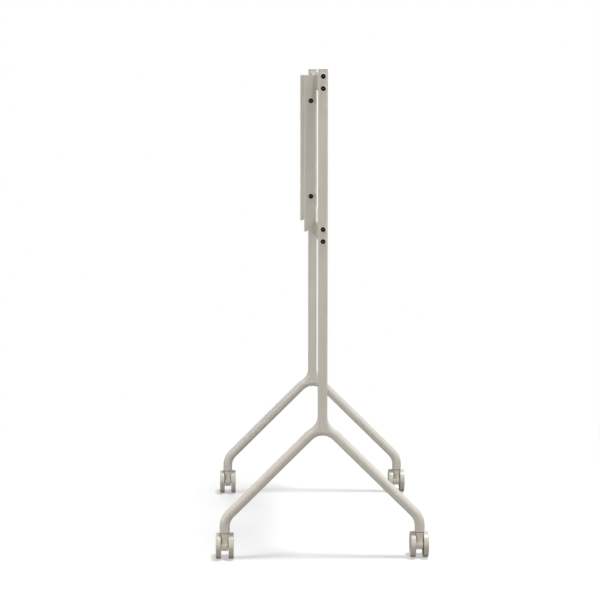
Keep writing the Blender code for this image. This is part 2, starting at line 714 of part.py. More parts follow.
def make_housing(material):
    # Seen from the side: a flat top under the leg, a hood that follows the wheels, a boss
    # round the axle and a front that leans out. A round nose stands on it about the stem.
    axle = Vector((CASTER_TRAIL, AXLE_Z))
    hood = WHEEL_RADIUS - HOOD_CLEARANCE
    collar = Vector((HOUSING_COLLAR, HOUSING_TOP_Z))
    reach = collar - axle
    tangent = math.atan2(reach.y, reach.x) - math.acos(hood / reach.length)
    outline = [collar]
    outline += arc(axle, hood, tangent, HOOD_END, HOOD_STEPS)
    outline += arc(axle, AXLE_BOSS_RADIUS, AXLE_BOSS_START, -math.pi / 2, HOUSING_STEPS)
    chin = (HOUSING_CHIN - HOUSING_NOSE, HOUSING_FLOOR_CLEARANCE + HOUSING_CHIN)
    outline += arc(chin, HOUSING_CHIN, -math.pi / 2, -math.pi, HOUSING_STEPS)
    outline.append(Vector((-HOUSING_BROW, HOUSING_NOSE_END)))
    outline.append(Vector((-HOUSING_BROW, HOUSING_TOP_Z)))
    bm = prism(outline, "Y", -HOUSING_HALF, HOUSING_HALF)
    housing = add_object("housing", mesh_from(bm, "caster_housing"))
    nose = [
        (0, HOUSING_NOSE_END), (HOUSING_NOSE, HOUSING_NOSE_END),
        (HOUSING_NOSE, HOUSING_TOP_Z), (0, HOUSING_TOP_Z),
    ]
    combine(housing, turned(nose, BOLT_SIDES), "UNION")
    floor = STEM_BOTTOM_Z - SEAT_GAP
    bore = [(0, floor), (STEM_BORE, floor), (STEM_BORE, STEM_TOP_Z), (0, STEM_TOP_Z)]
    combine(housing, turned(bore, PIN_SIDES), "DIFFERENCE")
    combine(housing, pin_hole(AXLE_BORE, WHEEL_GAP), "DIFFERENCE", (CASTER_TRAIL, 0, AXLE_Z), ALONG)
    return take_mesh(finish(housing, material))


def make_axle(material):
    end = AXLE_HALF_LENGTH
    profile = [(0, -end), (AXLE_RADIUS, -end), (AXLE_RADIUS, end), (0, end)]
    axle = add_object("axle", mesh_from(turned(profile, BOLT_SIDES), "caster_axle"))
    return take_mesh(finish(axle, material))


def make_wheel(material):
    # Turned about its axle from the inner face, at Z = 0, to the outer face
    bore_end = AXLE_REACH + SEAT_GAP
    web_outside = WHEEL_WIDTH - WEB_RECESS
    web_inside = web_outside - WEB_THICKNESS
    rim_inner = RIM_RADIUS - RIM_DEPTH
    profile = [
        (0, bore_end), (AXLE_BORE, bore_end), (AXLE_BORE, 0), (HUB_BOSS_RADIUS, 0),
        (rim_inner, web_inside), (rim_inner, TREAD_SHOULDER / 2),
        (RIM_RADIUS, TREAD_SHOULDER / 2), (RIM_RADIUS, WHEEL_WIDTH - TREAD_SHOULDER / 2),
        (rim_inner, web_outside), (0, web_outside),
    ]
    wheel = add_object("wheel", mesh_from(turned(profile, WHEEL_SIDES), "wheel"))
    return take_mesh(finish(wheel, material))


def make_tread(material):
    inner = RIM_RADIUS + SEAT_GAP
    profile = [
        (inner, TREAD_EDGE),
        (WHEEL_RADIUS, TREAD_SHOULDER),
        (WHEEL_RADIUS, WHEEL_WIDTH - TREAD_SHOULDER),
        (inner, WHEEL_WIDTH - TREAD_EDGE),
    ]
    tread = add_object("tread", mesh_from(turned(profile, WHEEL_SIDES, ring=True), "tread"))
    return take_mesh(finish(tread, material))


def take_mesh(item):
    # Keep the mesh of a piece that is repeated, and drop the sample object
    mesh = item.data
    bpy.data.objects.remove(item, do_unlink=True)
    return mesh


def add_caster(corner_name, side_x, side_y, meshes):
    swivel_place = (MIDDLE_X + side_x * FRAME_X, side_y * FOOT_Y, 0)
    pivot = add_pivot("swivel_" + corner_name, swivel_place, math.pi)
    add_object("caster_socket_" + corner_name, meshes["socket"], swivel_place)
    add_object("caster_stem_" + corner_name, meshes["stem"], parent=pivot)
    add_object("caster_housing_" + corner_name, meshes["housing"], parent=pivot)
    axle_place = (CASTER_TRAIL, 0, AXLE_Z)
    add_object("caster_axle_" + corner_name, meshes["axle"], axle_place, ALONG, pivot)
    for place, side in (("inner", side_y), ("outer", -side_y)):
        location = (CASTER_TRAIL, side * WHEEL_GAP / 2, AXLE_Z)
        rotation = (-side * math.pi / 2, 0, 0)
        name = place + "_" + corner_name
        add_object("wheel_" + name, meshes["wheel"], location, rotation, pivot)
        add_object("tread_" + name, meshes["tread"], location, rotation, pivot)


def main():
    remove_everything()
    paint = make_material("beige_paint", (0.62, 0.58, 0.50), 0.45, 0.0)
    cap_plastic = make_material("cap_plastic", (0.58, 0.54, 0.46), 0.55, 0.0)
    black_steel = make_material("black_steel", (0.012, 0.012, 0.013), 0.4, 0.6)
    bare_steel = make_material("bare_steel", (0.55, 0.55, 0.56), 0.3, 1.0)
    dark_plastic = make_material("socket_plastic", (0.05, 0.048, 0.045), 0.5, 0.0)
    moulding = make_material("caster_moulding", (0.56, 0.52, 0.44), 0.4, 0.0)
    rubber = make_material("tread_rubber", (0.48, 0.45, 0.39), 0.6, 0.0)

    frame = make_side_frame(paint)
    frame.location = (MIDDLE_X + FRAME_X, 0, 0)
    add_object("side_frame_left", frame.data, (MIDDLE_X - FRAME_X, 0, 0), (0, 0, math.pi))
    cap = make_post_cap(cap_plastic)
    cap.location = (MIDDLE_X + FRAME_X, 0, 0)
    add_object("post_cap_left", cap.data, (MIDDLE_X - FRAME_X, 0, 0))
    make_beam("top_beam", TOP_BEAM_Z, paint)
    make_beam("lower_beam", LOWER_BEAM_Z, paint)
    add_beam_bolts(make_bolt_mesh("beam_bolt", BEAM_BOLT_LENGTH, black_steel))

    rail_bolt = make_bolt_mesh("rail_bolt", RAIL_BOLT_LENGTH, black_steel)
    rail = make_rail(paint)
    upper_hook = make_upper_hook(paint)
    lower_hook = make_lower_hook(paint)
    for side_name, side in (("right", 1), ("left", -1)):
        pivot = add_pivot("rail_slide_" + side_name, (MIDDLE_X + side * RAIL_SPACING / 2, 0, 0))
        for piece in (rail, upper_hook, lower_hook):
            if side > 0:
                piece.parent = pivot
            else:
                add_object(piece.name.replace("right", side_name), piece.data, parent=pivot)
        for place, height in (("upper", UPPER_RAIL_BOLT_Z), ("lower", LOWER_RAIL_BOLT_Z)):
            seat = (side * (RAIL_WIDTH / 2 + SEAT_GAP), RAIL_BOLT_Y, height)
            name = "rail_bolt_" + side_name + "_" + place
            add_object(name, rail_bolt, seat, (0, side * math.pi / 2, 0), pivot)

    meshes = {
        "socket": make_socket(dark_plastic),
        "stem": make_stem(bare_steel),
        "housing": make_housing(moulding),
        "axle": make_axle(bare_steel),
        "wheel": make_wheel(moulding),
        "tread": make_tread(rubber),
    }
    for depth_name, side_y in (("front", -1), ("rear", 1)):
        for side_name, side_x in (("right", 1), ("left", -1)):
            add_caster(depth_name + "_" + side_name, side_x, side_y, meshes)


main()
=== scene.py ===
import json
import math

import bmesh
import bpy
from mathutils import Euler, Matrix, Vector


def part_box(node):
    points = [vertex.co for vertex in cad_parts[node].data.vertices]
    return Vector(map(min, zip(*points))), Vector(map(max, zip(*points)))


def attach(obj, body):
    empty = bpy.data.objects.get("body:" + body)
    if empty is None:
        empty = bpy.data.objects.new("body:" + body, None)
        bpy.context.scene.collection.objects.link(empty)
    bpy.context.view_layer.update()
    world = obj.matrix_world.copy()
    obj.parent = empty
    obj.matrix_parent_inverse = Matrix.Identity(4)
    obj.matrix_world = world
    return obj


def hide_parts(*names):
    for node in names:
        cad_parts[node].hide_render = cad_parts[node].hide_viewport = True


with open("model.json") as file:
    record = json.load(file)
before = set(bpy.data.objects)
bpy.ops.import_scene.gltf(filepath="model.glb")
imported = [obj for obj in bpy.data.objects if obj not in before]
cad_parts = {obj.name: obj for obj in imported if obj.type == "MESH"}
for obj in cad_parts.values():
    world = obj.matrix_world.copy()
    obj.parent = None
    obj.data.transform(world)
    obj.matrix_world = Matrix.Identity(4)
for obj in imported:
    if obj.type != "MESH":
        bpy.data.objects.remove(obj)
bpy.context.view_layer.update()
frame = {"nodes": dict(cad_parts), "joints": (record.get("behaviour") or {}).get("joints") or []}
nodes = frame["nodes"]
joints = {joint["name"]: joint for joint in frame["joints"]}


# Shader nodes. A Wire is a socket that takes plain sums, and a Sheet adds any other node.

class Wire:
    def __init__(self, sheet, socket):
        self.sheet = sheet
        self.socket = socket

    def maths(self, operation, first, second):
        return self.sheet.node("ShaderNodeMath", {"operation": operation}, {0: first, 1: second})

    def __add__(self, other):
        return self.maths("ADD", self, other)

    def __radd__(self, other):
        return self.maths("ADD", other, self)

    def __sub__(self, other):
        return self.maths("SUBTRACT", self, other)

    def __rsub__(self, other):
        return self.maths("SUBTRACT", other, self)

    def __mul__(self, other):
        return self.maths("MULTIPLY", self, other)

    def __rmul__(self, other):
        return self.maths("MULTIPLY", other, self)


class Sheet:
    def __init__(self, tree):
        self.tree = tree
        tree.nodes.clear()

    def node(self, kind, settings=None, sockets=None, output=0):
        made = self.tree.nodes.new(kind)
        for name, value in (settings or {}).items():
            setattr(made, name, value)
        for key, value in (sockets or {}).items():
            if isinstance(value, Wire):
                self.tree.links.new(value.socket, made.inputs[key])
            else:
                made.inputs[key].default_value = value
        return Wire(self, made.outputs[output]) if made.outputs else None

    def place(self, stretch=(1.0, 1.0, 1.0)):
        here = self.node("ShaderNodeTexCoord", output="Object")
        return self.node("ShaderNodeVectorMath", {"operation": "MULTIPLY"}, {0: here, 1: stretch})

    def height(self):
        return self.node("ShaderNodeSeparateXYZ", None, {0: self.place()}, "Z")

    def distance(self, stretch=(1.0, 1.0, 1.0)):  # from the piece's own origin
        return self.node("ShaderNodeVectorMath", {"operation": "LENGTH"}, {0: self.place(stretch)}, "Value")

    def noise(self, scale, detail=2.0, stretch=(1.0, 1.0, 1.0)):
        sockets = {"Vector": self.place(stretch), "Scale": scale, "Detail": detail}
        return self.node("ShaderNodeTexNoise", None, sockets)

    def fade(self, value, low, high):  # 0 at low, 1 at high
        settings = {"interpolation_type": "SMOOTHSTEP"}
        return self.node("ShaderNodeMapRange", settings, {"Value": value, 1: low, 2: high})

    def blend(self, share, first, second):  # two colours, on inputs 6 and 7
        return self.node("ShaderNodeMix", {"data_type": "RGBA"}, {0: share, 6: first, 7: second}, 2)

    def bump(self, height, depth):
        return self.node("ShaderNodeBump", None, {"Height": height, "Distance": depth, "Strength": 1.0})


def rgba(colour, scale=1.0):
    return (colour[0] * scale, colour[1] * scale, colour[2] * scale, 1.0)


middleTone = 0.5  # of a noise


def newFinish(name, look, build):
    # A material with one Principled shader, where build gives what changes over the surface
    material = bpy.data.materials.new(name)
    material.use_nodes = True
    sheet = Sheet(material.node_tree)
    sockets = {"Metallic": look["metallic"], "IOR": look["ior"]}
    sockets.update(build(sheet, look))
    shader = sheet.node("ShaderNodeBsdfPrincipled", None, sockets)
    sheet.node("ShaderNodeOutputMaterial", None, {"Surface": shader})
    return material


coatPattern = {
    "driftEdges": (0.38, 0.62), "speckleEdges": (0.58, 0.70), "speckleDetail": 1.0,
    "dustRagged": 0.03, "dustRoughness": 0.06, "pebbleDetail": 3.0,
}


def coatNodes(sheet, look):
    # Powder coat or moulded plastic: slow drift, fine speckle, dust low down and a pebbled skin
    base, pattern = look["colour"], coatPattern
    drift = sheet.fade(sheet.noise(look["driftScale"]), *pattern["driftEdges"])
    colour = sheet.blend(drift, rgba(base), rgba(base, look["driftTone"]))
    specks = sheet.noise(look["speckleScale"], pattern["speckleDetail"])
    speckle = sheet.fade(specks, *pattern["speckleEdges"])
    colour = sheet.blend(speckle * look["speckleShare"], colour, rgba(base, look["speckleTone"]))
    settled = 1.0 - sheet.fade(sheet.height() + drift * pattern["dustRagged"], 0.0, look["dustTop"])
    colour = sheet.blend(settled * look["dustShare"], colour, rgba(look["dustColour"]))
    pebbles = sheet.noise(look["pebbleScale"], pattern["pebbleDetail"])
    roughness = look["roughness"] + (pebbles - middleTone) * look["roughnessSpread"]
    roughness = roughness + settled * pattern["dustRoughness"]
    return {"Base Color": colour, "Roughness": roughness, "Normal": sheet.bump(pebbles, look["pebbleDepth"])}


paintLook = {
    "colour": (0.722, 0.666, 0.578), "driftTone": 0.955, "driftScale": 9.0,
    "speckleScale": 1500.0, "speckleShare": 0.35, "speckleTone": 0.86,
    "dustTop": 0.20, "dustShare": 0.18, "dustColour": (0.52, 0.49, 0.44),
    "pebbleScale": 620.0, "pebbleDepth": 0.00010,
    "roughness": 0.40, "roughnessSpread": 0.22, "metallic": 0.0, "ior": 1.5,
}

capLook = {
    "colour": (0.660, 0.615, 0.540), "driftTone": 0.97, "driftScale": 60.0,
    "speckleScale": 2200.0, "speckleShare": 0.2, "speckleTone": 0.9,
    "dustTop": 0.01, "dustShare": 0.0, "dustColour": (0.52, 0.49, 0.44),
    "pebbleScale": 1300.0, "pebbleDepth": 0.00006,
    "roughness": 0.52, "roughnessSpread": 0.2, "metallic": 0.0, "ior": 1.46,
}

mouldingLook = {
    "colour": (0.785, 0.724, 0.622), "driftTone": 0.95, "driftScale": 70.0,
    "speckleScale": 2600.0, "speckleShare": 0.2, "speckleTone": 0.88,
    "dustTop": 0.03, "dustShare": 0.0, "dustColour": (0.42, 0.40, 0.37),
    "pebbleScale": 1700.0, "pebbleDepth": 0.00005,
    "roughness": 0.36, "roughnessSpread": 0.18, "metallic": 0.0, "ior": 1.5,
}

socketLook = {
    "colour": (0.035, 0.033, 0.031), "driftTone": 1.35, "driftScale": 120.0,
    "speckleScale": 2600.0, "speckleShare": 0.3, "speckleTone": 1.6,
    "dustTop": 0.03, "dustShare": 0.0, "dustColour": (0.20, 0.19, 0.18),
    "pebbleScale": 1700.0, "pebbleDepth": 0.00005,
    "roughness": 0.48, "roughnessSpread": 0.2, "metallic": 0.0, "ior": 1.5,
}


def treadNodes(sheet, look):
    # Soft tyre: fine running lines round it, and a belt that the floor has dulled
    base = look["colour"]
    drift = sheet.fade(sheet.noise(look["driftScale"]), *look["driftEdges"])
    colour = sheet.blend(drift, rgba(base), rgba(base, look["driftTone"]))
    lines = sheet.noise(look["lineScale"], look["lineDetail"], look["lineStretch"])
    belt = sheet.fade(sheet.distance((1.0, 0.0, 1.0)), look["beltInside"], look["beltOutside"])
    scuffs = sheet.fade(lines + drift * look["scuffRagged"], *look["scuffEdges"])
    dulled = belt * look["beltShare"] * (look["scuffLeast"] + scuffs)
    colour = sheet.blend(dulled, colour, rgba(look["scuffColour"]))
    grain = sheet.noise(look["grainScale"])
    roughness = look["roughness"] + belt * look["beltRoughness"]
    roughness = roughness + (lines - middleTone) * look["lineRoughness"]
    skin = sheet.bump(grain + belt * lines * look["lineRelief"], look["grainDepth"])
    return {"Base Color": colour, "Roughness": roughness, "Normal": skin}


treadLook = {
    "colour": (0.625, 0.568, 0.478), "driftTone": 0.94, "driftScale": 45.0, "driftEdges": (0.35, 0.65),
    "lineScale": 24.0, "lineDetail": 3.0, "lineStretch": (1.0, 90.0, 1.0), "lineRelief": 1.5,
    "beltInside": 0.0368, "beltOutside": 0.0383, "beltShare": 0.28,
    "scuffColour": (0.43, 0.385, 0.325), "scuffEdges": (0.52, 0.72), "scuffRagged": 0.1, "scuffLeast": 0.4,
    "grainScale": 1500.0, "grainDepth": 0.00005,
    "roughness": 0.34, "beltRoughness": 0.10, "lineRoughness": 0.15, "metallic": 0.0, "ior": 1.5,
}


metalPattern = {"detail": 3.0, "markShare": 0.6, "wearFade": 0.14, "wearPolish": 0.06}


def metalNodes(sheet, look):
    # Plated or blackened steel: turning marks along one direction and worn, paler patches
    base, pattern = look["colour"], metalPattern
    marks = sheet.noise(look["markScale"], pattern["detail"], look["markStretch"])
    patches = sheet.noise(look["wearScale"], pattern["detail"])
    worn = sheet.fade(patches, look["wearLow"], look["wearLow"] + pattern["wearFade"])
    colour = sheet.blend(marks * pattern["markShare"], rgba(base), rgba(base, look["markTone"]))
    colour = sheet.blend(worn * look["wearShare"], colour, rgba(look["wearColour"]))
    roughness = look["roughness"] + (marks - middleTone) * look["roughnessSpread"]
    roughness = roughness - worn * pattern["wearPolish"]
    return {"Base Color": colour, "Roughness": roughness, "Normal": sheet.bump(marks, look["markDepth"])}


blackSteelLook = {
    "colour": (0.0040, 0.0038, 0.0036), "markTone": 1.6, "markScale": 260.0, "markStretch": (1.0, 1.0, 1.0),
    "wearScale": 330.0, "wearLow": 0.62, "wearShare": 0.35, "wearColour": (0.022, 0.020, 0.018),
    "markDepth": 0.00003, "roughness": 0.42, "roughnessSpread": 0.25, "metallic": 0.0, "ior": 1.16,
}

bareSteelLook = {
    "colour": (0.62, 0.60, 0.56), "markTone": 0.78, "markScale": 55.0, "markStretch": (1.0, 1.0, 22.0),
    "wearScale": 160.0, "wearLow": 0.56, "wearShare": 0.5, "wearColour": (0.50, 0.48, 0.44),
    "markDepth": 0.00002, "roughness": 0.32, "roughnessSpread": 0.2, "metallic": 1.0, "ior": 1.5,
}

finishes = {
    "beige_paint": newFinish("beigePowderCoat", paintLook, coatNodes),
    "cap_plastic": newFinish("postCapPlastic", capLook, coatNodes),
    "caster_moulding": newFinish("casterMoulding", mouldingLook, coatNodes),
    "socket_plastic": newFinish("darkSocketPlastic", socketLook, coatNodes),
    "tread_rubber": newFinish("softTyre", treadLook, treadNodes),
    "black_steel": newFinish("blackenedSteel", blackSteelLook, metalNodes),
    "bare_steel": newFinish("platedSteel", bareSteelLook, metalNodes),
}
print("finishes:", len(finishes))


# Outlines and solids

def roundCorner(before, corner, after, radius, steps):
    # Stations, each a point and a direction, along the arc that rounds one corner
    into = (corner - before).normalized()
    out = (after - corner).normalized()
    turn = math.atan2(into.x * out.y - into.y * out.x, into.dot(out))
    side = math.copysign(1.0, turn)
    start = corner - into * radius * math.tan(abs(turn) / 2)
    centre = start + Vector((-into.y, into.x)) * side * radius
    stations = []
    for step in range(steps + 1):
        ahead = Matrix.Rotation(turn * step / steps, 2) @ into
        stations.append((centre - Vector((-ahead.y, ahead.x)) * side * radius, ahead))
    return stations


def rectangle(left, right, bottom, top):
    return [(left, bottom), (right, bottom), (right, top), (left, top)]


def roundedOutline(corners, radii, steps):
    # A closed outline whose corners are rounded, or left sharp by a radius of 0
    corners = [Vector(corner) for corner in corners]
    outline = []
    for index, (corner, radius) in enumerate(zip(corners, radii)):
        if radius == 0:
            outline.append(corner)
            continue
        after = corners[(index + 1) % len(corners)]
        outline += [point for point, ahead in roundCorner(corners[index - 1], corner, after, radius, steps)]
    return outline


def openPath(corners, radius, steps):
    # The points of a folded strip's line, straight at both ends
    corners = [Vector(corner) for corner in corners]
    points = [corners[0]]
    for before, corner, after in zip(corners, corners[1:], corners[2:]):
        points += [point for point, ahead in roundCorner(before, corner, after, radius, steps)]
    return points + [corners[-1]]


def arcPoints(centre, radius, start, end, steps):
    angles = [start + (end - start) * step / steps for step in range(steps + 1)]
    return [Vector(centre) + radius * Vector((math.cos(angle), math.sin(angle))) for angle in angles]


def joinRings(bm, lower, upper):
    # Faces between two closed rings, where a ring of one vertex makes a fan
    count = max(len(lower), len(upper))
    for index in range(count):
        after = (index + 1) % count
        if len(lower) == 1:
            bm.faces.new((lower[0], upper[after], upper[index]))
        elif len(upper) == 1:
            bm.faces.new((lower[index], lower[after], upper[0]))
        else:
            bm.faces.new((lower[index], lower[after], upper[after], upper[index]))


def loftRings(rings):
    bm = bmesh.new()
    loops = [[bm.verts.new(point) for point in ring] for ring in rings]
    for lower, upper in zip(loops, loops[1:]):
        joinRings(bm, lower, upper)
    bm.faces.new(loops[0])
    bm.faces.new(loops[-1])
    return bm


def extruded(outline, axis, low, high):
    # A flat outline pushed along X, Y or Z
    rings = []
    for level in (low, high):
        ring = [[point[0], point[1]] for point in outline]
        for point in ring:
            point.insert("XYZ".index(axis), level)
        rings.append(ring)
    return loftRings(rings)


def lathe(profile, sides, closed=False):
    # A profile of (radius, height) turned about Z. A closed profile makes a ring.
    bm = bmesh.new()
    loops = []
    for radius, height in profile:
        count = sides if radius > 0 else 1
        loops.append([])
        for side in range(count):
            angle = 2 * math.pi * side / count
            loops[-1].append(bm.verts.new((radius * math.cos(angle), radius * math.sin(angle), height)))
    for lower, upper in zip(loops, loops[1:]):
        joinRings(bm, lower, upper)
    if closed:
        joinRings(bm, loops[-1], loops[0])
    return bm


def pin(radius, low, high, sides):
    # A plain round bar, for spacers, nuts and every drilled hole
    return lathe([(0, low), (radius, low), (radius, high), (0, high)], sides)


def meshFrom(bm, name):
    bmesh.ops.recalc_face_normals(bm, faces=bm.faces)
    mesh = bpy.data.meshes.new(name)
    bm.to_mesh(mesh)
    bm.free()
    return mesh


def gathered(tools):
    # Several tools as one, each with its place and turn
    together = bmesh.new()
    for bm, location, rotation in tools:
        bm.transform(Matrix.LocRotScale(Vector(location), Euler(rotation), None))
        part = meshFrom(bm, "part")
        together.from_mesh(part)
        bpy.data.meshes.remove(part)
    return together


origin = (0, 0, 0)
noTurn = (0, 0, 0)
acrossTurn = (0, math.pi / 2, 0)  # lays a turned piece along X
alongTurn = (math.pi / 2, 0, 0)  # lays it along Y


def newObject(name, mesh, location=origin, rotation=noTurn):
    piece = bpy.data.objects.new(name, mesh)
    bpy.context.scene.collection.objects.link(piece)
    piece.location = location
    piece.rotation_euler = rotation
    return piece


weldReach = 0.00002  # metres
creaseAngle = 32.0  # degrees, above which an edge stays sharp


def shape(piece, tools, operation):
    # One Boolean with all the tools, applied at once. The slivers it leaves are welded away.
    tool = newObject("tool", meshFrom(gathered(tools), "tool"))
    modifier = piece.modifiers.new(operation, "BOOLEAN")
    modifier.operation = operation
    modifier.object = tool
    modifier.solver = "EXACT"
    graph = bpy.context.evaluated_depsgraph_get()
    result = bpy.data.meshes.new_from_object(piece.evaluated_get(graph))
    bm = bmesh.new()
    bm.from_mesh(result)
    bmesh.ops.remove_doubles(bm, verts=bm.verts, dist=weldReach)
    bmesh.ops.dissolve_degenerate(bm, edges=bm.edges, dist=weldReach)
    bm.to_mesh(result)
    bm.free()
    piece.modifiers.clear()
    piece.data = result
    bpy.data.objects.remove(tool, do_unlink=True)


def shade(mesh, finish, angle=creaseAngle):
    mesh.shade_smooth()
    mesh.set_sharp_from_angle(angle=math.radians(angle))
    mesh.materials.append(finish)


def breakEdges(piece, width, segments=2):
    # Every cut or folded edge gets a small round, and the flats stay flat
    edges = piece.modifiers.new("edges", "BEVEL")
    edges.width = width
    edges.segments = segments
    edges.limit_method = "ANGLE"
    edges.angle_limit = math.radians(creaseAngle)
    edges.use_clamp_overlap = True
    piece.modifiers.new("normals", "WEIGHTED_NORMAL").keep_sharp = True


def settle(piece, slotName, body, *replaced):
    # The piece rides on its body and stands for its CAD nodes
    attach(piece, body)
    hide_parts(*replaced)


def middleOf(node):
    low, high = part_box(node)
    return [(first + last) / 2 for first, last in zip(low, high)]


holeSizes = {"radius": 0.0043, "sides": 24}


def boltHole(reach, place):
    # A hole across a piece, clear of a bolt's shank
    return pin(holeSizes["radius"], -reach, reach, holeSizes["sides"]), place, acrossTurn


capLow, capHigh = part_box("post_cap_right")
postHalf = (capHigh.x - capLow.x) / 2
postX = {side: middleOf("post_cap_" + side)[0] for side in ("right", "left")}
standHeight = capHigh.z
boltLevels = [middleOf(name)[2] for name in sorted(nodes) if name.startswith("beam_bolt_right")]
footY = abs(joints["swivel_front_right"]["pos_m"][1])


# Side frames: one woven skin over post, fork and bent legs

frameSizes = {
    "legRadius": 0.0150, "bendRadius": 0.058, "legRise": 0.291, "footLength": 0.041,
    "postCorner": 0.0055, "postWall": 0.0025, "pocketDepth": 0.017,
    "forkFillet": 0.047, "forkHalf": 0.0147,
    "socketBore": ((0.0130, 0.0), (0.0130, 0.0198), (0.0080, 0.0198), (0.0080, 0.0356)),
    "bossFoot": 0.0102, "bossSeat": 0.00775, "bossHeight": 0.0014, "bossRound": 0.0006, "bossSink": 0.001,
    "cornerSteps": 8, "flatSteps": 8, "underSteps": 26, "filletSteps": 22, "archSteps": 20,
    "kneeSteps": 22, "shoulderSteps": 6, "bossSides": 48, "bossSteps": 3,
}


def smoothShare(share):
    return share * share * (3 - 2 * share)


def forkForm(size):
    # What a frame is woven from: its levels, the post's outline with its fillets, and a leg's angles
    radius, bendRadius = size["legRadius"], size["bendRadius"]
    footZ, postTop = (corner.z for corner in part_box("side_frame_right"))
    kneeZ = footZ + size["footLength"]
    slope = math.atan2(size["legRise"], footY)
    archZ = kneeZ + size["legRise"] - bendRadius / math.cos(slope)
    widen = size["forkHalf"] / postHalf

    # The rear half of the post's outline, from its +X face round to its -X face
    cornerAt = postHalf - size["postCorner"]
    front = arcPoints((cornerAt, cornerAt), size["postCorner"], 0, math.pi / 2, size["cornerSteps"])
    flatShares = [step / size["flatSteps"] for step in range(1, size["flatSteps"])]
    flat = [Vector((cornerAt * (1 - 2 * share), postHalf)) for share in flatShares]
    profile = front + flat + [Vector((-point.x, point.y)) for point in reversed(front)]
    underShares = [step / size["underSteps"] for step in range(size["underSteps"] + 1)]

    # One fillet for each of its points, in its own plane of constant X
    fillet = size["forkFillet"]
    columns = []
    for point in profile:
        crown = bendRadius + math.sqrt(radius ** 2 - (point.x * widen) ** 2)
        reach = point.y + fillet
        rise = math.sqrt((crown + fillet) ** 2 - reach ** 2)
        turn = math.atan2(rise, reach)
        column = []
        for step in range(size["filletSteps"] + 1):
            share = step / size["filletSteps"]
            column.append(Vector((
                point.x * (1 + (widen - 1) * smoothShare(share)),
                reach - fillet * math.cos(turn * share),
                archZ + rise - fillet * math.sin(turn * share),
            )))
        columns.append(column)
    return {
        "footZ": footZ, "kneeZ": kneeZ, "postTop": postTop, "slope": slope,
        "arch": Vector((0.0, archZ)), "columns": columns,
        "joinAngle": math.pi / 2 - math.atan2(columns[0][-1].z - archZ, columns[0][-1].y),
        "crownAngles": [math.asin(point.x * widen / radius) for point in profile],
        "underAngles": [-math.pi / 2 - math.pi * share for share in underShares],
    }


def weave(bm, rows, wrap=False):
    # Quads between rows of verts, which close on themselves if wrap is set
    for lower, upper in zip(rows, rows[1:]):
        count = len(lower)
        for index in range(count if wrap else count - 1):
            after = (index + 1) % count
            bm.faces.new((lower[index], lower[after], upper[after], upper[index]))


def archStation(fork, angle, size):
    # A station of the leg's bend: its centre, and its outward direction
    outward = Vector((math.sin(angle), math.cos(angle)))
    return fork["arch"] + outward * size["bendRadius"], outward


def tubeRing(bm, station, angles, radius):
    # Verts round a leg at the given angles, counted from its outward side
    centre, outward = station
    ring = []
    for angle in angles:
        place = centre + outward * radius * math.cos(angle)
        ring.append(bm.verts.new((radius * math.sin(angle), place.x, place.y)))
    return ring


def weaveLeg(bm, fork, side, size):
    # Fillet rows from the post down to the crown of the leg
    rows = []
    for step in range(size["filletSteps"] + 1):
        places = [column[step] for column in fork["columns"]]
        rows.append([bm.verts.new((place.x, side * place.y, place.z)) for place in places])
    weave(bm, rows)

    # The leg's full rings from its foot up to the join
    slope, joinAngle, radius = fork["slope"], fork["joinAngle"], size["legRadius"]
    foot = Vector((side * footY, fork["footZ"]))
    knee = Vector((side * footY, fork["kneeZ"]))
    crossing = Vector((0.0, fork["kneeZ"] + size["legRise"]))
    bend = roundCorner(foot, knee, crossing, size["bendRadius"], size["kneeSteps"])
    away = Vector((side, 0.0))
    stations = [(foot, away)]
    stations += [(point, Vector((-ahead.y, ahead.x)) * -side) for point, ahead in bend]
    for step in range(size["shoulderSteps"]):
        angle = slope + (joinAngle - slope) * step / size["shoulderSteps"]
        stations.append(archStation(fork, side * angle, size))
    around = fork["crownAngles"] + fork["underAngles"]
    rings = [tubeRing(bm, station, around, radius) for station in stations]
    under = tubeRing(bm, archStation(fork, side * joinAngle, size), fork["underAngles"], radius)
    weave(bm, rings + [rows[-1] + under], wrap=True)

    # The stepped bore that takes the caster's socket
    bore = [rings[0]]
    for boreRadius, depth in size["socketBore"]:
        bore.append(tubeRing(bm, (foot + Vector((0.0, depth)), away), around, boreRadius))
    weave(bm, bore, wrap=True)
    bm.faces.new(bore[-1])
    return rows, under


def weaveArch(bm, fork, fillets, seams, size):
    # The arch under the fork. What it gives back are its edges on the two faces.
    lips = {1: [fillets[-1][-1][0]], -1: [fillets[-1][-1][-1]]}
    unders = [seams[-1]]
    for step in range(1, size["archSteps"]):
        station = archStation(fork, fork["joinAngle"] * (2 * step / size["archSteps"] - 1), size)
        lips[1] += tubeRing(bm, station, fork["crownAngles"][:1], size["legRadius"])
        lips[-1] += tubeRing(bm, station, fork["crownAngles"][-1:], size["legRadius"])
        unders.append(tubeRing(bm, station, fork["underAngles"], size["legRadius"]))
    lips[1].append(fillets[1][-1][0])
    lips[-1].append(fillets[1][-1][-1])
    unders.append(seams[1])
    weave(bm, [[back] + under + [face] for back, under, face in zip(lips[-1], unders, lips[1])])
    return lips


def weavePatch(bm, left, right, lip, size):
    # A curved patch between the legs' fillets, down to the arch. What it gives back is its top row.
    rows = []
    for step in range(size["filletSteps"]):
        down = step / size["filletSteps"]
        row = [left[step]]
        for across in range(1, size["archSteps"]):
            share = across / size["archSteps"]
            top = left[0].co.lerp(right[0].co, share)
            straight = left[-1].co.lerp(right[-1].co, share)
            place = top.lerp(lip[across].co, down) + left[step].co.lerp(right[step].co, share)
            place -= top.lerp(straight, down)
            row.append(bm.verts.new((left[step].co.x, place.y, place.z)))
        rows.append(row + [right[step]])
    weave(bm, rows + [lip])
    return rows[0]


